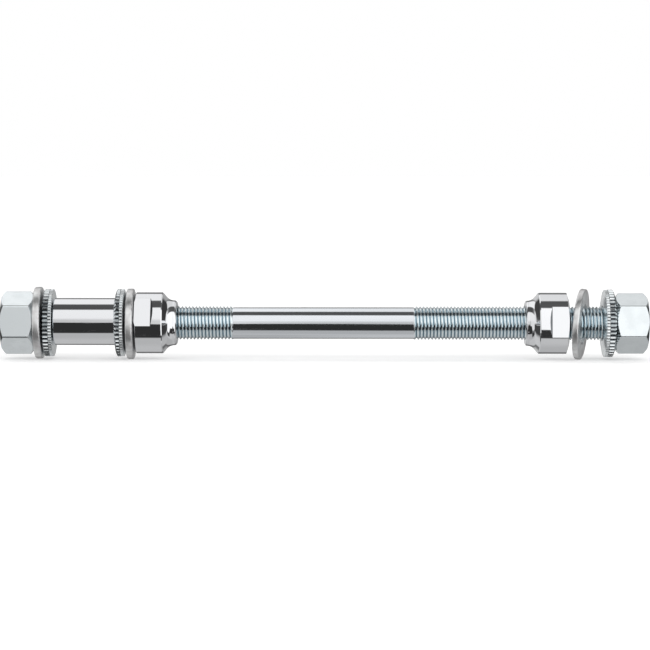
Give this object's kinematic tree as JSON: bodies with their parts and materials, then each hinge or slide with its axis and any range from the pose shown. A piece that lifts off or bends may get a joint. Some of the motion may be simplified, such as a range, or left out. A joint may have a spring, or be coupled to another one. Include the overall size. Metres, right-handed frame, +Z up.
{
  "type": "bicycle hub axle",
  "caption": "Solid threaded bicycle hub axle set lying on its side, with bearing cones, spacer tube, round toothed locknuts, plain washers and hexagon axle nuts",
  "frame": {"origin": "centre of the set on the surface that it lies on", "axes": "+X along the axle towards the end with the loose washer, +Z up"},
  "size_m": [0.1818, 0.0202, 0.0204],
  "materials": {
    "axle_steel": "zinc plated, slightly blue, rolled thread",
    "nut_zinc": "bright zinc plate, satin",
    "locknut_zinc": "zinc plate, toothed rim",
    "washer_zinc": "dull zinc plate, stamped",
    "bright_plate": "bright chrome plate, mirror like"
  },
  "bodies": {
    "axle": {"axle": "axle_steel", "locknut_left": "locknut_zinc", "spacer_tube": "bright_plate", "inner_locknut_left": "locknut_zinc"},
    "outer_washer_left": {"outer_washer_left": "washer_zinc"},
    "axle_nut_left": {"axle_nut_left": "nut_zinc"},
    "inner_washer_left": {"inner_washer_left": "washer_zinc"},
    "cone_left": {"cone_left": "bright_plate"},
    "loose_washer_right": {"loose_washer_right": "washer_zinc"},
    "cone_right": {"cone_right": "bright_plate"},
    "locknut_right": {"locknut_right": "locknut_zinc"},
    "axle_nut_right": {"axle_nut_right": "nut_zinc"}
  },
  "joints": [
    {"name": "left_nut_travel", "type": "slide", "parent": "axle", "child": "outer_washer_left", "axis": [-1, 0, 0], "range_m": [0, 0.00782]},
    {"name": "left_nut_turn", "type": "hinge", "parent": "outer_washer_left", "child": "axle_nut_left", "pos_m": [-0.0864, 0, 0.01025], "axis": [-1, 0, 0], "range_deg": [0, 2880]},
    {"name": "left_cone_travel", "type": "slide", "parent": "axle", "child": "inner_washer_left", "axis": [1, 0, 0], "range_m": [0, 0.01466]},
    {"name": "left_cone_turn", "type": "hinge", "parent": "inner_washer_left", "child": "cone_left", "pos_m": [-0.0475, 0, 0.01025], "axis": [1, 0, 0], "range_deg": [0, 5400]},
    {"name": "right_cone_travel", "type": "slide", "parent": "axle", "child": "loose_washer_right", "axis": [-1, 0, 0], "range_m": [0, 0.02931]},
    {"name": "right_cone_turn", "type": "hinge", "parent": "loose_washer_right", "child": "cone_right", "pos_m": [0.0623, 0, 0.01025], "axis": [-1, 0, 0], "range_deg": [0, 10800]},
    {"name": "right_nut_travel", "type": "slide", "parent": "axle", "child": "locknut_right", "axis": [1, 0, 0], "range_m": [-0.00294, 0.00782]},
    {"name": "right_nut_turn", "type": "hinge", "parent": "locknut_right", "child": "axle_nut_right", "pos_m": [0.0864, 0, 0.01025], "axis": [1, 0, 0], "range_deg": [-1080, 2880]}
  ],
  "couplings": [
    {"joint": "left_nut_travel", "follows": "left_nut_turn", "m_per_rad": 0.00015548},
    {"joint": "left_cone_travel", "follows": "left_cone_turn", "m_per_rad": 0.00015548},
    {"joint": "right_cone_travel", "follows": "right_cone_turn", "m_per_rad": 0.00015548},
    {"joint": "right_nut_travel", "follows": "right_nut_turn", "m_per_rad": 0.00015548}
  ]
}
